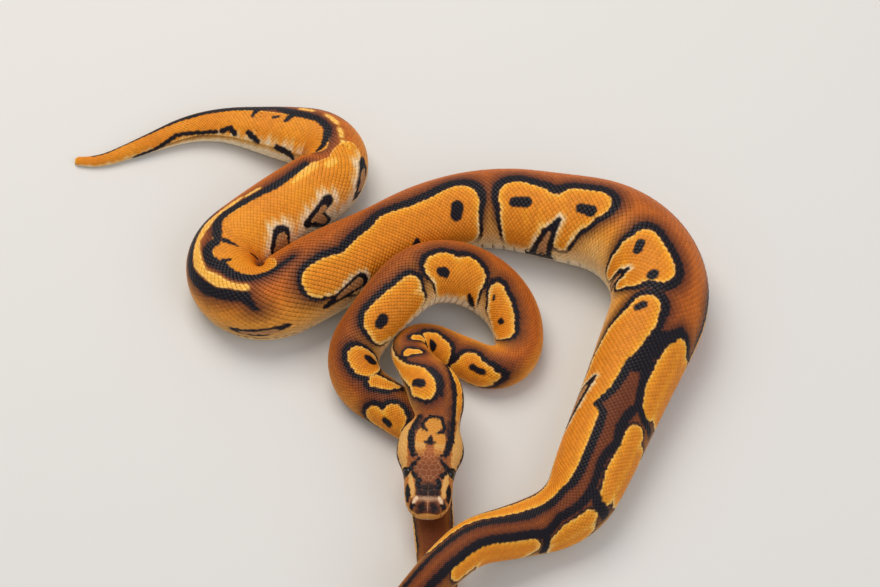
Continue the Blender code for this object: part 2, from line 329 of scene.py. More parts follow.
GOLD = (
    # neck
    ((95, -11.5, 2), (86, -10.5, 2.8), (76, -9.5, 4), (66, -7, 5.5), (59, -5, 5)),
    ((60, -9, 4.5), (56, -5, 3)),
    ((66, 12, 1.2), (58, 11.5, 2.8), (50, 11.5, 3.2), (44, 12, 1.8)),
    ((96, 3, 2.6), (99, 4.5, 2.6)),
    ((85, -2.5, 2.4), (82, 2, 1.6)),
    ((107, 5, 4.5), (112, 5.5, 6), (118, 7, 6)),
    ((110, 11, 5), (118, 11, 6)),
    # right of the ring
    ((134, 6, 5.6), (139, 8.5, 4.6), (143, 10, 2.2)),
    ((132, 12, 6), (138, 13, 5)),
    ((189, -5, 4.5), (181, -8, 6.8), (171, -9, 7.2), (163, -8, 5.8)),
    # top of the ring
    ((225, -7.5, 7.8), (221, -6.5, 7.8)),
    ((209, -6.5, 7.8), (205, -8, 7.4)),
    ((222, -14, 8), (208, -12, 7.2)),
    ((225, -17, 6.5), (218, -20, 8), (214, -23, 8)),
    ((204, -13, 6), (200, -16, 5), (197, -19, 4)),
    # left of the ring
    ((243, -7, 5.2), (252, -8, 7.8), (261, -6.5, 7.8)),
    ((246, -14, 6), (256, -15, 8), (266, -11, 5)),
    ((285.5, -5, 8.0), (290, -6, 8.2)),
    ((302, -2, 3.8), (308, -4, 3.2), (312, -7, 1.6)),
    ((311, 12, 4.2), (314, 13, 4.6)),
    ((319, 6.5, 4.8), (322, 8, 5)),
    ((312, 15, 4.4), (324, 15, 5)),
    # the great flank mark along the front
    ((744, -4, 7.2), (738, -5, 8.8), (728, -9, 10.6), (715, -13, 10.6), (702, -14, 9.8)),
    ((686, -15, 10.2), (672, -14.5, 10.2), (660, -13.5, 9.2), (650, -12, 6.8)),
    ((702, -16, 8.6), (686, -17, 8.6)),
    ((650, -11, 6), (640, -9, 5), (630, -7, 4.2), (618, -6.5, 3.8), (604, -7, 3.2),
     (590, -9, 2.8), (575, -10, 2.2)),
    # outer side of the front
    ((734, 17, 4), (722, 17, 6.2), (708, 16, 6.2), (699, 17, 4.8)),
    ((734, 20, 4), (722, 26, 7), (702, 26, 6.5)),
    ((728, 30, 6), (718, 34, 7), (704, 34, 7)),
    ((684, 15, 5.2), (674, 15, 5.8), (662, 13.5, 5.6), (655, 14, 4.4)),
    ((677, 23, 6), (659, 22, 5.5)),
    ((674, 29, 5), (660, 28, 5)),
    ((644, 14.5, 4.4), (637, 14.5, 4.6), (630, 16, 3.2)),
    ((641, 21, 4.6), (631, 21, 4.6)),
    ((639, 26, 4), (632, 26, 4)),
    ((618, 15, 4.6), (604, 13.5, 4.8), (590, 11, 4.6), (575, 10, 4.2)),
    ((614, 19, 4.6), (590, 17, 4.6)),
    ((611, 23, 4), (590, 21, 4)),
    # right bend
    ((783, -4, 6.8), (777, -4, 7.6), (766, -1, 7.2)),
    ((783, -12, 7.2), (768, -10, 9), (763, -14, 6.4)),
    ((782, -20, 6.6), (780, -27, 5.6)),
    ((762, -21, 4.6),),
    # upper band
    ((855, -5, 9.2), (845, -5.5, 7.6)),
    ((827, -3.8, 8.4), (817, -2, 7.4)),
    ((855, -14, 8), (852, -26, 8.6)),
    ((827, -12, 7.4), (829, -19, 5.4), (830, -25, 3.8)),
    ((845, -12, 6), (846, -24, 5)),
    ((837, -9.2, 8.4),),
    ((822, -8, 7.6),),
    ((886, -8, 11.2), (884, -20, 8.8)),
    ((884, -6, 9.6), (897, -9, 10.2), (908, -9.5, 10.2), (922, -7, 10.6)),
    ((925, -9, 10.4), (937, -11, 10.0), (950, -15.5, 9.8), (961, -12.5, 9.4), (966, -11.5, 8.4)),
    ((895, -22, 10), (925, -22, 10), (950, -20, 8)),
)
GOLD_SOFT = 2.2           # how smoothly neighbouring strokes of gold run together
DEEPENS = 4.5             # mm into a golden mark before its colour is at its deepest
BLEED = 7.0               # mm that black bleeds into the ground beyond its edge
BELLY_FROM = 0.33         # how far round from the middle of the back the belly begins

SPOTS = (
    ((63, -9, 2.1), (60.5, -6.3, 2.1)),
    ((109, 6, 2.3), (112.5, 6.5, 2.4)),
    ((135.5, 7, 1.6), (139.5, 8, 1.5)),
    ((186.5, -8, 0.7), (188, -7, 0.9)),
    ((172.5, -9, 1.5), (171, -8.5, 1.6)),
    ((225, -8.5, 2.4), (222.5, -9, 2.8)),
    ((203, -16, 1.2), (199.5, -18, 2.4), (196, -19.5, 1.6)),
    ((262.5, -7.5, 2.5), (261, -7.5, 2.9)),
    ((284.5, -7.2, 2.3), (288, -9, 2.9)),
    ((317, 11.5, 1.7), (319, 12, 2.0)),
    ((743.5, -7.6, 2.0), (745.5, -5.4, 2.1)),
    ((763.5, -4, 2.5), (762.5, -5, 2.7)),
    ((780, -9, 2.5), (783, -6.4, 2.6)),
    ((823.5, -6, 2.6), (818, -6.5, 3.1)),
    ((856, -7.5, 2.6), (849.5, -7, 2.8)),
    ((886, -7.6, 3.5), (887.5, -11, 3.3)),
    ((914, -16.5, 1.9), (919, -20, 1.5)),
)

LINES = (
    # neck
    ((59, 9, 1.0), (52, 8, 1.1), (44, 8.5, 1.1)),
    ((56, 14, 0.7), (48, 14.5, 1.0)),
    ((55, 1, 1.5), (60, 1.8, 2.0), (65, 0.5, 1.6)),
    # dark saddle where the front meets the right bend
    ((741, 16, 2.3), (736, 13, 2.8), (732, 8, 4.3), (724, 5.5, 4.3), (716, 2.5, 4.3)),
    # left line of the back stripe
    ((716, -0.5, 2.4), (708, -1.5, 2.1), (700, -3, 1.9), (695, -5.5, 1.9), (691, -8, 1.6)),
    ((691, -7, 1.6), (687, -3, 1.8), (679, -2.5, 2), (670, -2.5, 2), (660, -2.5, 2),
     (652, -2.5, 2), (645, -3.5, 1.8), (636, -1.5, 1.8), (629, -1, 1.8), (621, 0, 2),
     (610, -0.8, 1.5), (598, -2, 1.4), (586, -3.5, 1.3), (572, -5, 1.2), (540, -5, 1.2)),
    # right line of the back stripe
    ((718, 7, 3.3), (710, 8, 2), (703, 9, 1.8), (697, 10.5, 2), (692, 8, 2.3), (684, 6.5, 2.3),
     (676, 8, 2.1), (670, 5.5, 2), (664, 4.5, 2), (656, 5.5, 1.8), (650, 6.5, 2.1),
     (643, 6.5, 2), (636, 6, 2), (630, 8.5, 2.1), (626, 10.5, 2.3), (618, 8.5, 2), (608, 7.5, 2),
     (596, 6.5, 2), (586, 5.5, 2), (572, 4.5, 2), (540, 4, 2)),
    ((697, 11, 1.8), (693, 16, 1.9), (691, 24, 1.8)),
    ((652, 8, 2.1), (650, 13, 2.1), (650, 21, 1.9)),
    ((626, 11, 2.1), (625, 21, 1.9)),
    # left bend, inner line
    ((1082, -6, 2), (1072, -5, 2.2), (1062, -5, 2.4), (1055, -6.5, 2.2), (1046, -8, 2.2),
     (1038, -9.5, 2.5), (1032, -8.5, 2.3), (1027, -4, 2.3), (1024, -3, 2.1), (1020, -7.5, 2.3),
     (1016, -6.5, 2.3), (1011, -2, 2.5), (1004, -0.5, 2.3), (996, 1.5, 2), (988, 4, 1.6),
     (980, 5, 1.3), (970, 6, 1.2)),
    ((1025, 0, 1.4), (1024, 7, 0.7)),
    ((1013, -1, 1.6), (1013, 3, 0.8)),
    # left bend, outer line
    ((1034, -18, 1.6), (1024, -18, 2.2), (1016, -18.5, 2.5), (1009, -15, 2.7), (1003, -11, 2.7),
     (996, -8, 2.7)),
    ((995, -9, 2.1), (991.5, -13.5, 1.1)),
    ((1025, 15, 0.7), (1028, 20, 1.1)),
    # back of the tail
    ((1098, -8, 1.5), (1103, -5, 1.7), (1108, -2.5, 2.1), (1113, 1, 2.1), (1120, 3, 2),
     (1128, 4, 2.5), (1134, 5, 2.5), (1142, 8, 2.1), (1150, 7, 2.3), (1160, 5.5, 2.1),
     (1172, 4.5, 1.9), (1184, 3.5, 1.7), (1194, 3.5, 1.4), (1215, 3.2, 1), (1236, 1.8, 0.8)),
    ((1132, 3, 2.1), (1134, -1, 1.3)),
    ((1151, 6, 2.2), (1152, 0, 0.9)),
    ((1141, 0.3, 1.0), (1138.5, 0.8, 0.8)),
    # lower side of the tail
    ((1136, -15.5, 1.9), (1130, -18, 1.9), (1126, -24, 1.2)),
    ((1152, -9, 1.6), (1147, -13, 1.7)),
    ((1168, -8, 1.5), (1163, -6.8, 1.5), (1160, -9.5, 1.7)),
    ((1171, -8, 1.1), (1178, -7.5, 1.1), (1186, -6, 1.1), (1193, -4.5, 1.1), (1205, -7, 1.3),
     (1216, -7, 1.2)),
)

# Black marks with a brown middle: the outer strokes, then the inner ones.
EYED = (
    ((((969, -25, 1.4), (959, -23.5, 3), (949, -21.5, 4.2)),),
     (((962, -24, 0.8), (950, -21.8, 2.1)),)),
    ((((832.5, -13, 1.3), (835, -18, 2.6), (838, -26, 4.4), (840, -35, 5.6)),),
     (((836, -20, 0.6), (838.5, -27, 1.5), (840, -37, 2.4)),)),
    ((((771, -17, 1.6), (770, -22, 2.9), (768, -31, 3.8)),),
     (((770, -22, 0.8), (768, -33, 1.9)),)),
    ((((705, -15.5, 1.5), (698, -20, 4.0), (689, -23.5, 5.0), (681, -25, 3.6)),),
     (((700, -19, 1.2), (696, -22, 2.6), (688, -25.5, 3.4), (682, -27, 2.4)),)),
    ((((1050, 17.5, 4.8), (1047, 22.5, 5.8)),), (((1049.5, 19.3, 2.5), (1046.6, 25, 4.0)),)),
    ((((1065, 21, 2.8), (1079, 16.5, 3.1)), ((1070.5, 22, 4.8), (1075, 28, 3.4))),
     (((1068, 21.2, 0.9), (1075.8, 18.6, 1.2)), ((1071.4, 22, 2.2), (1074.2, 26.5, 1.3)))),
    ((((1099, 16.5, 2.0), (1096, 21, 3.4), (1092.5, 26, 2.4)),),
     (((1097, 19.6, 1.0), (1094.5, 24, 1.7)),)),
    ((((997, -27.5, 1.6), (991, -27, 3.0), (984.5, -24.5, 1.5)),),
     (((995, -28, 0.7), (988, -26.6, 1.6)),)),
)

YELLOW = (
    ((1048, -12.5, 1.0), (1042, -12.6, 1.8), (1036, -13, 1.2), (1030, -13.2, 2.4),
     (1024, -14, 1.7), (1017, -12.8, 2.8), (1012, -10.8, 1.8), (1007, -8, 2.8), (1002, -5.8, 1.6),
     (996, -4, 1.8)),
    ((1050, -11, 1), (1057, -10, 1)),
    ((1130, 9.5, 1.4), (1125, 9, 1.4)),
    ((1118, 8.5, 1.5), (1114, 7.5, 1.5)),
    ((1110, 6, 1.3), (1107, 5, 1.4)),
    ((1104, 4.5, 1), (1102, 8, 1.2)),
    ((1090, 2, 2.5), (1093, 3, 2.3)),
    ((1070, -0.5, 1.2), (1078, -1.5, 2.4), (1085, -2, 2.4)),
)

# The golden field of the hind part, which has no black edge of its own.
FIELD = (
    ((984, 12, 7), (1000, 14, 11), (1018, 12, 16), (1034, 11, 18), (1062, 14, 18), (1084, 13, 16),
     (1096, 8, 8)),
    ((1102, -9, 6), (1120, -8, 10), (1148, -5, 8.5), (1180, -2, 6), (1241, 0, 4)),
)

# How wide the black edge of a golden mark is towards the back, down the body.
RIM = ((0, 2.0), (60, 2.0), (90, 1.5), (115, 2.0), (150, 2.6), (200, 3.2), (260, 3.2), (300, 2.4),
       (335, 2.4), (560, 0.9), (700, 1.1), (722, 1.6), (745, 4.2), (860, 4.6), (950, 4.4),
       (972, 2.6), (1000, 2.5))
# How far round from the uppermost line the middle of the back is, as a share of the girth.
ROLL = ((0, 0), (45, 0), (80, 0.04), (110, 0.05), (160, 0.11), (250, 0.11), (310, 0.08),
        (380, 0.02), (590, 0.02), (690, 0.03), (750, 0.08), (860, 0.09), (960, 0.07),
        (1005, -0.02), (1050, -0.07), (1085, -0.05), (1115, 0.05), (1160, 0.06), (1241, 0.0))


def far_flank_marks():
    """Rounded marks on the flanks that lie away from the front, in the kind's own rhythm.

    Each stretch is start, end, spacing, v of the marks' middle and their size. A mark is a
    stroke along the body and a lobe down towards the belly, with a spot in every other one.
    """
    stretches = ((170, 330, 33, 31, 5), (338, 572, 34, -17, 5.5), (352, 572, 34, 17, 5.5),
                 (748, 972, 46, 42, 10), (985, 1090, 36, -42, 8), (1128, 1190, 20, 21, 3.4))
    gold, spots = [], []
    for start, end, spacing, v, size in stretches:
        for number, s in enumerate(np.arange(start, end, spacing)):
            s = s + rng.uniform(-0.1, 0.1) * spacing
            reach = spacing * rng.uniform(0.20, 0.27)
            way = np.sign(v)
            gold.append(((s - reach, v, size * 0.8), (s + reach, v - way, size)))
            gold.append(((s, v, size * 0.9), (s + reach * 0.4, v + way * size, size * 0.8)))
            if number % 2:
                spots.append(((s, v, size * 0.26), (s + 2, v, size * 0.3)))
    return tuple(gold), tuple(spots)


def stroke_distance(s, v, chain):
    """Distance of each (s, v) from a chain of tapering round-ended strokes, negative inside."""
    if len(chain) == 1:
        return np.hypot(s - chain[0][0], v - chain[0][1]) - chain[0][2]
    nearest = np.full(s.shape, 1e3)
    for (s0, v0, r0), (s1, v1, r1) in zip(chain, chain[1:]):
        ds, dv = s1 - s0, v1 - v0
        t = held(((s - s0) * ds + (v - v0) * dv) / (ds * ds + dv * dv))
        away = np.hypot(s - s0 - t * ds, v - v0 - t * dv) - (r0 + t * (r1 - r0))
        nearest = np.minimum(nearest, away)
    return nearest


def distance_to(s, v, chains, soft=0.0):
    """Distance from a set of chains, with those that nearly touch run smoothly together."""
    nearest = np.full(s.shape, 60.0)
    for chain in chains:
        low, high = min(p[0] for p in chain) - 26, max(p[0] for p in chain) + 26
        near = (s > low) & (s < high)
        if not near.any():
            continue
        away = stroke_distance(s[near], v[near], chain)
        so_far = nearest[near]
        if soft:
            mix = np.maximum(soft - np.abs(away - so_far), 0) / soft
            nearest[near] = np.minimum(away, so_far) - mix * mix * soft / 4
        else:
            nearest[near] = np.minimum(away, so_far)
    return nearest


def edge(distance, soft=0.35):
    """1 inside a mark and 0 outside, over a soft edge."""
    return held(0.5 - distance / (2 * soft))


def markings(table, s, g):
    """The body's markings at (s, g): gold, black, pale, side, open_eye and dusk.

    gold is 0 outside and rises from 0.4 at a golden mark's edge to 1 well inside; below 0.4 it is
    a tint over the ground, and that tint is painted light on the outer flank of the neck and the
    ring.
    black, pale, open_eye (the brown middle of an eyed mark) and dusk are plain shares; dusk is the
    dark that bleeds into the ground from the black, and painted shade on the length under the
    head. side is how far round from the middle of the back towards the belly.
    """
    girth = girth_at(table, s)
    g = wrapped_round(g)
    v = g * girth
    f = wrapped_round(g - profile(ROLL, s.ravel()).reshape(s.shape))
    side = np.abs(f)
    wobble = 0.35 * np.sin(s * 1.9 + 3 * np.sin(v * 0.7)) + 0.25 * np.sin(v * 2.3 + s * 0.6)
    gold_away = distance_to(s, v, ALL_GOLD, GOLD_SOFT) + wobble * 0.6
    spot_away = distance_to(s, v, ALL_SPOTS) + wobble * 0.3
    line_away = distance_to(s, v, LINES) + wobble * 0.5
    eyed_away = distance_to(s, v, EYED_OUTER) + wobble * 0.4
    inner_away = distance_to(s, v, EYED_INNER) + wobble * 0.3
    field_away = distance_to(s, v, FIELD)
    yellow_away = distance_to(s, v, YELLOW) + wobble * 0.3

    low_down = rising(side, 0.06, 0.2)
    rim = np.interp(s, *np.array(RIM).T) * (1 - 0.52 * low_down)
    in_gold = edge(gold_away)
    black = edge(gold_away - rim) * (1 - in_gold) * falling(side, 0.36, 0.06)
    black = np.maximum(black, edge(np.minimum(line_away, spot_away)))
    open_eye = edge(inner_away)
    black = np.maximum(black, edge(eyed_away)) * (1 - open_eye)
    black = black * (1 - edge(yellow_away))

    on_field = edge(field_away, 0.5)
    depth = held(-gold_away / DEEPENS)
    gold = np.maximum(in_gold * (0.4 + 0.6 * depth), on_field * (0.86 + 0.1 * np.sin(s * 0.21)))
    yellow = edge(yellow_away, 0.8)
    gold = (gold * (1 - yellow) + 0.46 * yellow) * (1 - open_eye)

    # Cream runs up round the eyed marks in short tongues, and along the lower edge of the gold.
    tongues = np.sin(s * 1.05 + 0.2 * v) * np.sin(s * 0.43 + 1)
    golden = np.maximum(in_gold, on_field)
    hind = rising(s, 1008, 14)
    halo = golden * edge(eyed_away - 1.5 - 1.5 * hind + tongues * (1 + hind), 1.2 + hind) * 0.78
    low_edge = rising(side, 0.13, 0.12)
    halo = np.maximum(halo, in_gold * low_edge * edge(-gold_away - 1.4 + 0.6 * tongues, 0.8) * 0.7)
    cream_from = 0.245 - 0.025 * hind - 0.03 * rising(s, 1092, 14)
    halo = np.maximum(halo, on_field * held((side - cream_from + tongues * 0.03) / 0.09))
    bars = held(1 - np.abs(s - 806) / 14) * (0.5 + 0.5 * np.sin(s * 2.2))
    halo = np.maximum(halo, bars * rising(side, 0.2, 0.08) * 0.6 * (1 - golden))
    belly = held((side - BELLY_FROM + 0.06 * hind + tongues * 0.01) / 0.055)
    pale = held(np.maximum(halo, belly)) * (1 - open_eye)

    # The black bleeds into the ground round it, most of all on the neck and down the stripe of
    # the front. The length that lies under the head is darkened as painted shade, and the outer
    # flank of the neck and the ring is lightened towards gold as painted light.
    beyond = np.minimum(np.minimum(gold_away - rim, line_away), BLEED)
    dusk = held(1 - beyond / BLEED) ** 0.9
    # Darkening of the back along s: the pattern's own on the neck and down the front, and painted
    # shade from about 340 to 470, where this length lies under the head.
    dusky_and_painted_shade = ((45, 0.45), (110, 0.4), (150, 0.1), (225, 0.15), (245, 0.45), (285, 0.45),
             (305, 0.3), (330, 0.34), (348, 0.85), (420, 0.8), (470, 0.35), (560, 0.25),
             (600, 0.42), (640, 0.78), (700, 0.9), (730, 0.85), (752, 0.1))
    dusk = np.maximum(dusk, np.interp(s, *np.array(dusky_and_painted_shade).T) * falling(side, 0.2, 0.1))
    dusk *= (1 - golden) * falling(side, BELLY_FROM, 0.1)
    # Painted light: the outer flank of the neck and the ring is lightened towards gold, this
    # strongly along s.
    painted_light_strength = np.interp(s, (215, 240, 285, 305, 325, 345), (0.31, 0.08, 0.08, 0.28, 0.28, 0))
    painted_light = painted_light_strength * rising(f, 0.02, 0.1) * (1 - dusk)
    gold = np.maximum(gold, painted_light * rising(s, 46, 10) * (1 - black))
    return gold, black, pale, side, open_eye, dusk


EYED_OUTER = tuple(chain for outer, _ in EYED for chain in outer)
EYED_INNER = tuple(chain for _, inner in EYED for chain in inner)
FAR_GOLD, FAR_SPOTS = far_flank_marks()
ALL_GOLD = GOLD + FAR_GOLD
ALL_SPOTS = SPOTS + FAR_SPOTS


# ---------------------------------------------------------------- meshes

def placed(name, data):
    """A new object in the scene."""
    made = bpy.data.objects.new(name, data)
    bpy.context.scene.collection.objects.link(made)
    return made


def make_piece(name, places, faces, colours, patch=None):
    """A mesh piece from points in mm and faces, with its colour attributes and its OFBake map.

    Points that fall on the very same place, as at the ends of a tube, are merged into one.
    """
    mesh = bpy.data.meshes.new(name)
    faces = np.asarray(faces, np.int32)
    count, corners = faces.shape
    mesh.vertices.add(len(places))
    mesh.vertices.foreach_set("co", (places * MM).astype(np.float32).ravel())
    mesh.loops.add(count * corners)
    mesh.loops.foreach_set("vertex_index", faces.ravel())
    mesh.polygons.add(count)
    mesh.polygons.foreach_set("loop_start", np.arange(0, count * corners, corners, dtype=np.int32))
    mesh.polygons.foreach_set("use_smooth", np.ones(count, bool))
    for key, values in colours.items():
        layer = mesh.attributes.new(key, "FLOAT_COLOR", "POINT")
        full = np.ones((len(places), 4), np.float32)
        full[:, :values.shape[1]] = values
        layer.data.foreach_set("color", full.ravel())
    if patch is not None:
        layer = mesh.uv_layers.new(name="OFBake")
        layer.data.foreach_set("uv", patch[faces.ravel()].astype(np.float32).ravel())
    mesh.update()
    whole = bmesh.new()
    whole.from_mesh(mesh)
    bmesh.ops.remove_doubles(whole, verts=whole.verts, dist=1e-8)
    whole.to_mesh(mesh)
    whole.free()
    piece = placed(name, mesh)
    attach(piece, "root")
    return piece


def unwrapped(down, round_):
    """Places on the OFBake map, from shares of the way down and round, just inside its edges."""
    return (stacked(down, round_) * 0.98 + 0.01).reshape(-1, 2)


def grid_round(s, around):
    """The grid of s and g for a tube of closed rings at the distances s."""
    return np.meshgrid(s, np.arange(around) / around - 0.5, indexing="ij")


def close_ends(places):
    """Draws the first and the last ring of a tube to its own middle."""
    for ring in (0, -1):
        places[ring] = places[ring].mean(axis=0)


def tube_faces(rings, around):
    """Quads of a tube of closed rings, facing outwards."""
    i = np.arange(rings - 1)[:, None] * around
    j = np.arange(around)[None]
    k = (j + 1) % around
    return stacked(i + j, i + k, i + around + k, i + around + j).reshape(-1, 4)


def repeated(one, count, corners):
    """The faces of one small shape with so many corners, for count shapes on end."""
    return (one + corners * np.arange(count)[:, None, None]).reshape(-1, one.shape[1])


def colours_at(table, s, g, rim=0.0, chance=0.5):
    """The attributes of points at (s, g): the marks and their place."""
    gold, black, pale, side, open_eye, dusk = markings(table, s, g)
    return {"marks": stacked(gold, black, pale, dusk).reshape(-1, 4),
            "place": stacked(side * 2, rim, chance, open_eye).reshape(-1, 4)}


def skin(table):
    """The bare skin, COAT under the scales: rings down the body, closed at the snout and tail."""
    end = table["s"][-1]
    s = np.concatenate([[0.0, 0.4, 1.0, 1.8], np.arange(2.8, 50, 1.1),
                        np.arange(50, end, 1.45), [end]])
    around = 96
    grid_s, grid_g = grid_round(s, around)
    girth = girth_at(table, grid_s)
    depth = np.minimum(COAT, girth / 16)
    depth = np.where(grid_s < NAPE, np.minimum(girth / 16, UNDER_PLATES), depth)
    places = read_surface(table, grid_s, grid_g, -depth)
    close_ends(places)
    patch = unwrapped(grid_s / end, grid_g + 0.5)
    colours = colours_at(table, grid_s, grid_g, rim=0.75)
    return make_piece("skin", places.reshape(-1, 3), tube_faces(len(s), around), colours, patch)


# ---------------------------------------------------------------- scales

# How many columns of scales there are round the body, from each s on.
COLUMNS = ((47, 54), (345, 64), (1102, 52), (1148, 40), (1186, 28), (1214, 18))
FLANK = 0.365             # the flank scales end this share of the girth from the middle back
LONG = 1.7                # a scale's spacing down its column, in column spacings
PIECE = 5800              # scales to a piece
HALF_PATCH = 0.0015       # half a scale's patch on the OFBake map

# One scale: eight points of its rounded rhombus, the first at its free hind tip. Each ring of
# points, from its edge to the middle of its top and of its underside, has its size, its height
# above the skin at the front tip and the hind tip, how many points it has and its rim.
SCALE_RINGS = ((1.0, -0.34, -0.02, 8, 1.0), (0.62, -0.10, 0.10, 8, 0.62),
               (0.0, 0.03, 0.03, 1, 0.0), (0.0, -0.5, -0.5, 1, 1.0))
CORNERS = np.arange(8) * math.pi / 4
RHOMB = (np.abs(np.cos(CORNERS)) ** 1.35 + np.abs(np.sin(CORNERS)) ** 1.35) ** (-1 / 1.35)
OUTLINE_DOWN = RHOMB * np.cos(CORNERS)
OUTLINE_ROUND = RHOMB * np.sin(CORNERS)


def scale_roots(table):
    """The middle of each scale: s, g, its half length in s and its half width in g.

    Rows follow one another down the body half a scale apart, and every other row is shifted by
    one column.
    """
    starts, counts = np.array(COLUMNS).T
    s, row, out = float(starts[0]), 0, []
    while s < table["s"][-1] - 1.5:
        columns = counts[np.searchsorted(starts, s, side="right") - 1]
        girth = girth_at(table, s)
        step = 2 * FLANK / columns
        f = (np.arange(row % 2, columns + 1, 2) - columns / 2) * step
        width = girth * step
        out.append(stacked(s + rng.normal(0, 0.03, f.shape) * width, f,
                           width * LONG * 0.57, step * 1.02))
        s += width * LONG / 2
        row += 1
    s0, f0, half_long, half_wide = np.concatenate(out).T
    return s0, f0 + profile(ROLL, s0), half_long, half_wide


def scale_piece(table, number, s0, g0, half_long, half_wide):
    """A length of overlapping rhombic scales as one joined mesh.

    Each scale is a dome draped on the body: low and tucked under at the front, lifted at its
    hind tip, and closed underneath.
    """
    girth = girth_at(table, s0)
    depth = np.minimum(COAT, girth / 20)
    down, across, height, rims = np.concatenate([
        (size * OUTLINE_DOWN[:points], size * OUTLINE_ROUND[:points],
         front + (hind - front) * (OUTLINE_DOWN[:points] + 1) / 2, np.full(points, rim))
        for size, front, hind, points, rim in SCALE_RINGS], axis=1)
    count, corners = len(s0), len(down)
    s = s0[:, None] + half_long[:, None] * down[None]
    g = g0[:, None] + half_wide[:, None] * across[None]
    tilt = rng.normal(0, 0.015, (count, 1))
    lift = (height[None] + tilt) * depth[:, None] / COAT
    places = read_surface(table, np.clip(s, 0.5, table["s"][-1]), g, lift - 0.02)

    ring = np.arange(8)
    after = (ring + 1) % 8
    skirt = stacked(ring, after, 8 + after, 8 + ring)
    skirt = np.concatenate([skirt[:, [0, 1, 2]], skirt[:, [0, 2, 3]]])
    top = stacked(8 + ring, 8 + after, 16)
    under = stacked(after, ring, 17)
    faces = repeated(np.concatenate([skirt, top, under])[:, ::-1], count, corners)

    chance = rng.uniform(0, 1, count)
    inwards = 0.85            # a scale's colours are read a little inside its outline
    own = colours_at(table, s0[:, None] + inwards * (s - s0[:, None]),
                     g0[:, None] + inwards * (g - g0[:, None]))
    own["place"][:, 1] = np.tile(rims, count)
    own["place"][:, 2] = np.repeat(chance, corners)
    end_of_body = table["s"][-1]
    root = unwrapped(s0 / end_of_body, np.mod(g0 + 0.5, 1.0))
    spread = stacked(down, across) * HALF_PATCH
    patch = (root[:, None] + spread[None]).reshape(-1, 2)
    return make_piece("scales_%02d" % number, places.reshape(-1, 3), faces, own, patch)


def belly_plates(table):
    """The broad belly plates: each a thin plate across the belly, lapping over the next.

    A plate is a grid of points, steps across by six down; its hind edge stands out and its
    front edge is tucked in, and the last two rows fold back underneath to close it. The arrays
    are plate x point down x point across. The spacing gives the species' count, about 200 under
    the body and 30 under the tail.
    """
    rows = [48.0]
    while rows[-1] < table["s"][-1] - 3:
        girth = girth_at(table, rows[-1])
        rows.append(rows[-1] + 2.5 + girth * 0.0355)
    long = np.diff(rows)[:, None, None]
    rows = np.array(rows[:-1])[:, None, None]
    steps = 15
    across = np.linspace(FLANK - 0.012, 1 - FLANK + 0.012, steps)
    down = np.array([-0.1, 0.3, 0.8, 1.12, 1.06, 0.2])[:, None]
    height = np.array([-0.34, -0.10, -0.03, -0.02, -0.28, -0.5])[:, None]
    rims = np.array([0.9, 0.3, 0.3, 1.0, 1.0, 1.0])[:, None]
    s = rows + long * down + 0 * across
    g = across + profile(ROLL, rows.ravel())[:, None, None] + 0 * s
    depth = np.minimum(COAT, girth_at(table, rows) / 20) / COAT
    end = table["s"][-1]
    places = read_surface(table, np.clip(s, 0.5, end), g, height * depth + 0 * s)
    a = np.arange(len(down))[:, None] * steps + np.arange(steps - 1)
    b = np.roll(a, -1, axis=0)
    one = stacked(a, b, b + 1, a + 1).reshape(-1, 4)
    end_cap = np.array([(0, 3, 2, 1), (0, 5, 4, 3)]) * steps
    one = np.concatenate([one, end_cap, end_cap[:, ::-1] + steps - 1])[:, ::-1]
    faces = repeated(one, len(rows), len(down) * steps)
    colours = colours_at(table, rows + long / 2 + 0 * g, g, rims)
    patch = unwrapped(rows / end + 0.0012 * down, np.mod(g + 0.5, 1.0))
    return make_piece("belly_plates", places.reshape(-1, 3), faces, colours, patch)


# ---------------------------------------------------------------- head

def cells(s, v, seeds):
    """Distance between the two nearest seeds at each point: 0 on a seam between two plates."""
    first = np.full(s.shape, 1e3)
    second = np.full(s.shape, 1e3)
    for a, b in seeds:
        away = np.hypot(s - a, v - b)
        second = np.minimum(second, np.maximum(away, first))
        first = np.minimum(first, away)
    return second - first


def head_seeds():
    """Middles of the head's plates: even rows across the crown, each mirrored on its other side.

    Plates are 1.35 mm on the nape, 1.7 behind the eyes, 2.5 on the crown and 3 on the snout, and
    every other row is shifted.
    """
    seeds = []
    s = 2.2
    number = 0
    while s < 58:
        size = 3.0 if s < 13 else (2.5 if s < 27 else (1.7 if s < 34 else 1.35))
        reach = np.arange(0 if number % 2 and s > 13 else size / 2, 25, size)
        for v in reach:
            a = s + rng.uniform(-0.36, 0.36) * size
            b = v + (rng.uniform(-0.30, 0.30) * size if v > 0.1 else 0)
            seeds.append((a, b))
            if v > 0.1:
                seeds.append((a, -b))
        s += size * 0.86
        number += 1
    return seeds


def bump(away, radius):
    """A smooth hill, 1 at no distance and 0 from the radius on."""
    return held(1 - (away / radius) ** 2) ** 2


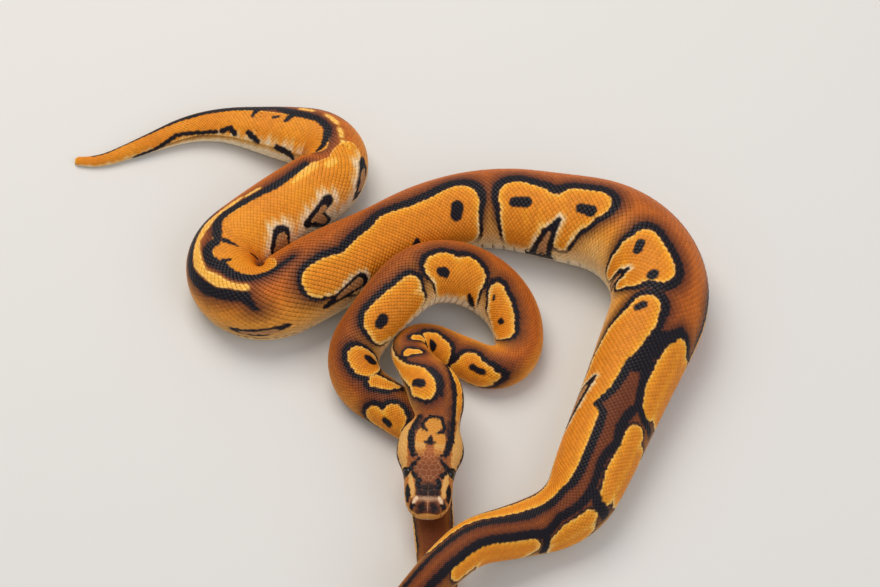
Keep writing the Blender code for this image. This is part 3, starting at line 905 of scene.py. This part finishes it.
# Marks of the head, given on one side and mirrored: s mm back from the snout, v mm round.
HEAD_BLACK = (
    ((47, 8.4, 1.4), (41, 9.0, 1.4), (36, 9.2, 1.8), (31, 8.4, 1.6), (27.6, 7.4, 1.2),
     (27.3, 5.6, 0.6)),                                            # side of the crown
    ((26, 4.2, 0.4), (23, 7.0, 1.1), (20.8, 8.9, 1.4)),            # slant behind the eye
    ((19.2, 7.4, 0.9), (17.8, 5.9, 1.3)),
    ((15.4, 4.4, 1.4), (13.4, 4.7, 1.4), (12.0, 4.4, 1.0)),
    ((13.6, 9.9, 1.1), (11, 9.8, 1.9), (8.0, 9.6, 1.5)),           # before the eye
    ((20, 14.0, 0.7), (24, 16.2, 1.2), (30, 18.2, 1.6), (37, 18.7, 1.6), (44, 17.4, 1.2)),
    ((5.8, 6.7, 1.2), (4.2, 7.3, 1.3)),                            # round the nostril
    ((45.6, 0, 0.7), (44.9, 2.7, 0.9), (42.6, 4.8, 0.9), (40.2, 5.2, 0.9), (38.7, 3.8, 0.8),
     (38.1, 2.3, 0.5)),                                            # ring of the keyhole
    ((36.2, 0, 0.4), (34.3, 0, 1.2)),
    ((33.3, 0, 1.1), (33.0, 2.0, 0.6)),
)
HEAD_DARK = (
    ((4.9, 2.5, 1.5), (3.0, 2.8, 2.0)),                            # over the nose
    ((12.6, 1.2, 2.0), (9.6, 1.4, 1.9)),
    ((12.6, 3.6, 1.6), (9.8, 3.8, 1.5)),
    ((44.5, 7.0, 1.0), (39, 7.4, 1.0)),
)
HEAD_GOLD = (
    ((19.5, 11.2, 1.2), (24, 13.2, 3.1), (30, 14.2, 4.0), (36, 14.4, 4.1), (41, 13.8, 3.2),
     (44.5, 12.8, 1.8)),                                           # cheek
    ((19.8, 8.9, 0.9), (16.5, 8.1, 1.5), (13, 7.6, 1.7), (9.4, 7.2, 1.4)),
    ((41.2, 0, 4.0), (39.6, 0, 2.6)),                              # keyhole
    ((38.4, 0, 0.9), (36.8, 1.4, 1.0)),
    ((36.4, 3.8, 2.6), (32.5, 4.4, 2.6), (28.6, 4.2, 2.2)),
)
HEAD_PALE = (
    ((7.5, 5.0, 0.9), (6.9, 5.7, 1.1), (5.9, 6.2, 0.9)),
    ((13.5, 13.4, 0.5), (17, 14.2, 0.7)),
    ((18, 18.4, 1.2), (26, 20.8, 1.5), (36, 22.8, 1.8)),
)


def head_colours(table, s, g, crease, up):
    """Marks of the head at (s, g): shares of gold, black, pale and dusk, and how far round."""
    girth = girth_at(table, s)
    v = wrapped_round(g) * girth
    a = np.abs(v)
    share = a / girth * 2
    wobble = 0.22 * np.sin(s * 2.1 + v) + 0.2 * np.sin(v * 2.7 + 2 * np.sign(v) + s)
    gold_away = distance_to(s, a, HEAD_GOLD, 0.8) + wobble
    black_away = distance_to(s, a, HEAD_BLACK, 0.4) + wobble
    dark_away = distance_to(s, a, HEAD_DARK, 1.0) + wobble
    pale_away = distance_to(s, a, HEAD_PALE, 0.4) + wobble * 0.4
    chin = rising(share, 0.68, 0.06)

    gold = edge(gold_away, 0.45) * np.where((a > 9.5) | (s < 25), 0.5, 0.68)
    gold *= np.where((a < 7) & (s > 24), rising(s, 25, 9), 1.0)
    upper_lip = falling(up, 6.9, 0.8) * falling(s, 17, 3)
    rostral = falling(s, 1.3, 0.5)
    lip = np.maximum(upper_lip, rostral) * (1 - chin)
    gold = np.maximum(gold, lip * 0.56)
    black = np.maximum(edge(black_away, 0.35), edge(dark_away, 1.0) * 0.92) * (1 - lip)
    pale = np.maximum(edge(pale_away, 0.4), chin)
    bar = edge(np.hypot((s - 7.2) / 1.1, a / 5.4) - 1, 0.35)
    pale = np.maximum(pale, bar * 0.5)
    pale = np.maximum(pale, falling(up, 6.2, 0.8) * rising(s, 14, 3))
    black *= 1 - pale
    gold *= 1 - pale
    seam = held(1 - crease / 0.26)
    crown = edge(np.hypot((s - 20) / 10.5, a / 7.4) - 1, 0.12)
    middle = held(1 - a / 0.3) * falling(s, 12.5, 0.5) * rising(s, 1.8, 0.4)
    pale = np.maximum(pale, np.maximum(seam * crown * 0.38, middle * 0.6))
    dusk = edge(np.hypot((s - 42) / 6, (a - 7.2) / 2.4) - 1, 0.3) * 0.7
    dusk = np.maximum.reduce([dusk, 0.55 * falling(s, 30, 8) * falling(a, 9, 2),
                              0.8 * falling(s, 14, 2) * falling(a, 7.5, 2),
                              0.5 * held(1 - black_away / 2.5) * falling(a, 10, 2)])
    dusk *= 1 - 0.45 * falling(s, 8, 1.5) * rising(s, 4.0, 1.5)
    head = stacked(gold, black, held(pale), dusk)

    gold, black, pale, _, _, dusk = markings(table, s, g)
    neck = stacked(gold, black, pale, dusk)
    onto_neck = rising(s, 45.6, 1.2)[..., None]
    return head * (1 - onto_neck) + neck * onto_neck, share


SEAM = (0.30, 0.24)       # depth and width of the seams between the head's plates
LIP_SEAM = (0.20, 0.22)   # the same between the plates of the lips
LIP_PLATE = 2.4           # length of a plate of the lips
MOUTH = (0.75, 0.34)      # depth and width of the mouth's line
PIT_DEPTH = 0.7
NOSTRIL_DEPTH = 0.9
RIDGE = 0.22              # height of the ridge from nostril to eye
SOCKET = 3.75             # radius of the ring round an eye
SOCKET_DEPTH = 1.0
SOCKET_RING = 0.22        # height of that ring


def groove(away, width):
    """A smooth groove's depth, 1 where away is 0."""
    return np.exp(-(away / width) ** 2)


def head_shell(table, line):
    """The head's own plates: the body's surface pressed in along the seams between plates.

    Seams are where a point is equally far from two plates' middles. The mouth is a deeper line
    at an even height above the chin, the nostrils and lip pits are small pits, the eyes sit in
    hollows with a raised ring, and a low ridge runs from nostril to eye.
    """
    back_end = 53.0
    s = np.concatenate([[0.0, 0.15, 0.4, 0.7], np.linspace(1.0, back_end, 236), [back_end + 0.4]])
    around = 340
    grid_s, grid_g = grid_round(s, around)
    girth = girth_at(table, grid_s)
    v = grid_g * girth
    base = read_surface(table, grid_s, grid_g, 0 * grid_s)
    i = np.clip((grid_s / FINE).astype(int), 0, len(line["s"]) - 1)
    from_axis = base - line["middle"][i]
    up = (from_axis * line["up"][i]).sum(axis=-1) + HEAD_AXIS
    out = (from_axis * line["side"][i]).sum(axis=-1)

    crease = cells(grid_s, v, head_seeds())
    fade = held(grid_s / 3) * held((back_end - grid_s) / 2)
    lift = -SEAM[0] * groove(crease, SEAM[1]) * fade + 0.05
    mouth_up = 3.1 + 0.8 * rising(grid_s, 8, 24)
    mouth = groove(up - mouth_up, MOUTH[1]) * falling(grid_s, 34, 4)
    lift = lift - MOUTH[0] * mouth
    lip_seam = np.abs(np.mod(np.hypot(grid_s, out), LIP_PLATE) - LIP_PLATE / 2)
    by_lip = held(3.9 - np.abs(up - mouth_up)) * falling(grid_s, 32, 4)
    by_lip *= held(grid_s - 0.3)
    lip_line = groove(lip_seam, LIP_SEAM[1]) * by_lip
    lift -= LIP_SEAM[0] * lip_line
    pits = np.zeros_like(lift)
    for pit in (1.6, 3.2, 5.2, 7.4):
        pits = np.maximum(pits, bump(np.hypot(grid_s - pit, (up - mouth_up - 1.7) * 1.2), 0.75))
    pits *= (np.abs(out) > 2.0)
    lift -= PIT_DEPTH * pits
    nostril = bump(np.hypot((grid_s - 4.6) * 0.9, np.abs(out) - 6.2) + 9 * (up < 5.5), 0.9)
    lift -= NOSTRIL_DEPTH * nostril
    lift += RIDGE * bump(np.abs(np.abs(v) - 8.4), 1.4) * falling(grid_s, 20, 3) * fade
    # Painted shade in the hollow round each eye, laid on as black below.
    painted_socket_shade = np.zeros_like(lift)
    for way in (-1, 1):
        middle = eye_middle(line, way)
        away = np.linalg.norm(base - middle, axis=-1)
        lift -= SOCKET_DEPTH * falling(away, SOCKET - 0.5, 0.45)
        lift += SOCKET_RING * groove(away - SOCKET, 0.32)
        painted_socket_shade = np.maximum(painted_socket_shade, falling(away, SOCKET, 0.4))
    lift -= 0.4 * held((grid_s - back_end + 2.2) / 2.2)
    lift[-1] = -1.2
    places = read_surface(table, np.minimum(grid_s, back_end), grid_g, lift)
    close_ends(places)

    marks, share = head_colours(table, grid_s, grid_g, crease, up)
    # Painted shade: the heat pits, nostrils, mouth line and eye sockets are darkened towards
    # black, and the lip seams a little.
    dark = np.maximum(np.maximum(pits * 0.8, nostril), np.maximum(mouth * 0.75, painted_socket_shade))
    dark = held(np.maximum(dark, 0.45 * lip_line))
    marks[..., 1] = np.maximum(marks[..., 1], dark)
    marks[..., 2] *= 1 - dark
    place = stacked(share, held(1 - crease / 0.5), 0.5, 0.0)
    patch = unwrapped(grid_s / (back_end + 1), grid_g + 0.5)
    colours = {"marks": marks.reshape(-1, 4), "place": place.reshape(-1, 4)}
    faces = tube_faces(len(s), around)
    return make_piece("head_plates", places.reshape(-1, 3), faces, colours, patch)


def eye_middle(line, way):
    """The middle of an eyeball, on the right for way 1 and on the left for way -1."""
    i = int(EYE_BACK / FINE)
    return (line["middle"][i] + way * EYE_OUT * line["side"][i]
            + (EYE_UP - HEAD_AXIS) * line["up"][i])


def eyeball(name, line, way):
    """A ball round its middle, with angles from its own axis of sight for the iris and slit."""
    middle = eye_middle(line, way)
    i = int(EYE_BACK / FINE)
    forwards, outwards, upwards = SIGHT
    sight = (way * line["side"][i] * outwards - line["ahead"][i] * forwards
             + line["up"][i] * upwards)
    sight /= np.linalg.norm(sight)
    upward = line["up"][i] - (line["up"][i] @ sight) * sight
    upward /= np.linalg.norm(upward)
    sideways = np.cross(upward, sight)
    rings, around = 34, 48
    angle = np.linspace(0, math.pi, rings)[:, None]
    turn = np.linspace(0, 2 * math.pi, around, endpoint=False)[None]
    ahead = np.cos(angle) + 0 * turn
    x, y = np.sin(angle) * np.cos(turn), np.sin(angle) * np.sin(turn)
    clear = EYE_RADIUS * (1 + 0.02 * np.exp(-(angle / 0.6) ** 2))
    places = middle + (clear + 0 * turn)[..., None] * (
        ahead[..., None] * sight + x[..., None] * sideways + y[..., None] * upward)
    slit = edge(np.hypot(x / 0.10, y / 0.52) - 1, 0.18)
    iris = edge(np.hypot(x, y) - 0.66, 0.05) * (ahead > 0)
    marks = stacked(iris * (1 - slit), slit * (ahead > 0), 0.0)
    colours = {"marks": marks.reshape(-1, 3), "place": np.zeros((rings * around, 3))}
    faces = tube_faces(rings, around)[:, ::-1]
    return make_piece(name, places.reshape(-1, 3), faces, colours)


# ---------------------------------------------------------------- materials

def linear(code):
    """An sRGB hex colour as linear red, green, blue and an alpha of 1."""
    parts = [int(code[i:i + 2], 16) / 255 for i in (1, 3, 5)]
    return [p / 12.92 if p <= 0.04045 else ((p + 0.055) / 1.055) ** 2.4 for p in parts] + [1.0]


def add(tree, kind, links=(), stops=(), **settings):
    """One shader node: its settings, its inputs from sockets or values, and its ramp's stops.

    It gives back the node's outputs.
    """
    made = tree.nodes.new("ShaderNode" + kind)
    for key, value in settings.items():
        setattr(made, key, value)
    for target, source in dict(links).items():
        if hasattr(source, "is_linked"):
            tree.links.new(source, made.inputs[target])
        else:
            made.inputs[target].default_value = source
    for number, (place, code) in enumerate(stops):
        if number > 1:
            made.color_ramp.elements.new(1.0)
        made.color_ramp.elements[number].position = place
        made.color_ramp.elements[number].color = linear(code)
    return made.outputs


def new_material(name, roughness, specular, coat=0.0, coat_roughness=0.25):
    """A material of one shader, with the constants that stay the same all over a surface."""
    material = bpy.data.materials.new(name)
    material.use_nodes = True
    tree = material.node_tree
    shader = tree.nodes["Principled BSDF"]
    for key, value in (("Roughness", roughness), ("Specular IOR Level", specular), ("IOR", 1.5),
                       ("Coat Weight", coat), ("Coat Roughness", coat_roughness)):
        shader.inputs[key].default_value = value
    return material, tree, shader


def keratin_scales(name, back, marks_within, cream):
    """Smooth keratin scales over pigmented skin: satin, lighter at the rim of each scale.

    back is the ground colour from the middle of the back (0) to the belly (1), marks_within that
    of a golden mark from its edge (0.4) to well inside (1), and cream that of the pale parts from
    a faint tint (0) to the belly (1). Each scale differs a little in tone.
    """
    material, tree, shader = new_material(name, 0.42, 0.20)
    marks = add(tree, "Attribute", attribute_name="marks")
    shares = add(tree, "SeparateColor", {"Color": marks["Color"]})
    gold, black, pale, dusk = shares["Red"], shares["Green"], shares["Blue"], marks["Alpha"]
    where = add(tree, "Attribute", attribute_name="place")
    parts = add(tree, "SeparateColor", {"Color": where["Color"]})
    side, rim, chance, open_eye = parts["Red"], parts["Green"], parts["Blue"], where["Alpha"]

    ground = add(tree, "ValToRGB", {"Fac": side}, back)["Color"]
    golden = add(tree, "ValToRGB", {"Fac": gold}, marks_within)["Color"]
    pale_colour = add(tree, "ValToRGB", {"Fac": pale}, cream)["Color"]
    # Gold under 0.4 tints the ground through the golden ramp; on the outer flank of the neck and
    # the ring that tint is painted light.
    in_gold = add(tree, "Math", {0: gold, 1: 0.4}, operation="MINIMUM")[0]
    at_rims = []
    for inner, outer, part in ((ground, "#E89436", 0.30), (golden, "#F8C24A", 0.36),
                               (linear("#0A070B"), "#34283A", 0.24)):
        share = add(tree, "Math", {0: rim, 1: part}, operation="MULTIPLY")
        at_rims.append(add(tree, "Mix", {0: share[0], 6: inner, 7: linear(outer)},
                           data_type="RGBA")[2])
    colour, golden, inky = at_rims
    # 32161A is laid on by dusk: the dark bled from the black, and painted shade on the length
    #                            under the head.
    for over, where_it_lies, part in ((linear("#32161A"), dusk, 0.84), (golden, in_gold, 2.5),
                                      (pale_colour, pale, 1.0), (inky, black, 1.0),
                                      (linear("#B27E50"), open_eye, 1.0)):
        share = add(tree, "Math", {0: where_it_lies, 1: part}, operation="MULTIPLY")
        colour = add(tree, "Mix", {0: share[0], 6: colour, 7: over}, data_type="RGBA")[2]
    tone = add(tree, "Math", {0: chance, 1: 0.18, 2: 0.91}, operation="MULTIPLY_ADD")
    shade = add(tree, "HueSaturation", {"Color": colour, "Value": tone[0]})
    tree.links.new(shade["Color"], shader.inputs["Base Color"])
    place = add(tree, "TexCoord")
    grain = add(tree, "TexNoise", {"Vector": place["Object"], "Scale": 2200.0, "Detail": 3.0})
    press = add(tree, "Bump", {"Strength": 0.08, "Distance": 0.0001, "Height": grain["Fac"]})
    tree.links.new(press["Normal"], shader.inputs["Normal"])
    return material


def wet_eye():
    """The clear scale over the eye: a hard wet gloss over a dark bronze iris and a black slit."""
    material, tree, shader = new_material("clear_eye_scale", 0.05, 0.3, 0.15, 0.02)
    marks = add(tree, "Attribute", attribute_name="marks")
    shares = add(tree, "SeparateColor", {"Color": marks["Color"]})
    place = add(tree, "TexCoord")
    fleck = add(tree, "TexNoise", {"Vector": place["Object"], "Scale": 1400.0})
    bronze = add(tree, "Mix", {0: fleck["Fac"], 6: linear("#0E0906"), 7: linear("#2A1B10")},
                 data_type="RGBA")
    colour = linear("#060404")
    for share, over in ((shares["Red"], bronze[2]), (shares["Green"], linear("#010101"))):
        colour = add(tree, "Mix", {0: share, 6: colour, 7: over}, data_type="RGBA")[2]
    tree.links.new(colour, shader.inputs["Base Color"])
    return material


def plain_floor():
    """A pale matt studio floor under the model."""
    mesh = bpy.data.meshes.new("floor")
    reach = 6.0
    corners = ((-1, -1), (1, -1), (1, 1), (-1, 1))
    mesh.from_pydata([(x * reach, y * reach, 0) for x, y in corners], [], [(0, 1, 2, 3)])
    floor = placed("floor", mesh)
    floor.location.z = -0.0002
    material, _, shader = new_material("matt_paper", 0.9, 0.2)
    shader.inputs["Base Color"].default_value = linear("#D9D7D3")
    mesh.materials.append(material)


def light(name, place, size, power, colour):
    """A soft square light that looks at the middle of the model."""
    data = bpy.data.lights.new(name, "AREA")
    data.size = size
    data.energy = power
    data.color = linear(colour)[:3]
    lamp = placed(name, data)
    lamp.location = place
    lamp.rotation_euler = (-lamp.location).to_track_quat("-Z", "Y").to_euler()


def studio():
    """A big soft light from above and behind, a fill from the front, and a pale sky."""
    light("key", (-0.35, 0.75, 1.35), 1.1, 17.0, "#FFF8EE")
    light("fill", (0.9, -0.8, 1.1), 1.2, 6.0, "#EEF3FF")
    world = bpy.data.worlds.new("studio")
    bpy.context.scene.world = world
    world.use_nodes = True
    world.node_tree.nodes["Background"].inputs["Color"].default_value = linear("#F2F4F8")
    world.node_tree.nodes["Background"].inputs["Strength"].default_value = 0.55
    bpy.context.scene.view_settings.view_transform = "Standard"


def camera():
    """A long lens looking down at the model from the front."""
    elevation, distance = math.radians(57.0), 1.2804
    target = np.array([0.0269, 0.0629, 0.0])
    data = bpy.data.cameras.new("camera")
    data.lens = 110.0
    data.sensor_width = 36.0
    data.clip_start = 0.05
    eye = placed("camera", data)
    back = np.array([0.0, -math.cos(elevation), math.sin(elevation)])
    eye.location = target + back * distance
    eye.rotation_euler = (math.radians(90) - elevation, 0.0, 0.0)
    bpy.context.scene.camera = eye


# ---------------------------------------------------------------- assembly

def main():
    """Makes the whole model, then the floor, the lights and the camera."""
    camera()
    line = swept_line()
    table = surface_table(line)
    body = keratin_scales(
        "keratin_body_scales",
        ((0.0, "#A84A0E"), (0.16, "#C05E12"), (0.30, "#D0781A"), (0.44, "#D99032"),
         (0.58, "#E3AE62"), (0.70, "#EBCF9E"), (0.82, "#F0E2CA")),
        ((0.26, "#E08C28"), (0.38, "#F8D080"), (0.48, "#F0A82C"), (0.64, "#E48604"),
         (1.0, "#D67000")),
        ((0.3, "#F6D07C"), (0.85, "#F2E0BC")))
    face = keratin_scales(
        "keratin_head_plates",
        ((0.0, "#A85A2A"), (0.24, "#9C5426"), (0.46, "#B87632"), (0.66, "#E0C08E")),
        ((0.30, "#C87E36"), (0.50, "#D69E58"), (0.64, "#D68A34"), (1.0, "#CC761C")),
        ((0.3, "#DDB088"), (0.9, "#E6C29C")))
    wet = wet_eye()

    hide = skin(table)
    hide.data.materials.append(body)
    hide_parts(*[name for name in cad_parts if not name.startswith("eye_")])
    roots = scale_roots(table)
    for number, first in enumerate(range(0, len(roots[0]), PIECE)):
        own = [values[first:first + PIECE] for values in roots]
        piece = scale_piece(table, number, *own)
        piece.data.materials.append(body)
    plates = belly_plates(table)
    plates.data.materials.append(body)
    head = head_shell(table, line)
    head.data.materials.append(face)
    for name, way in (("left", -1), ("right", 1)):
        eye = eyeball("eyeball_" + name, line, way)
        eye.data.materials.append(wet)
        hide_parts("eye_" + name)
    plain_floor()
    studio()


main()
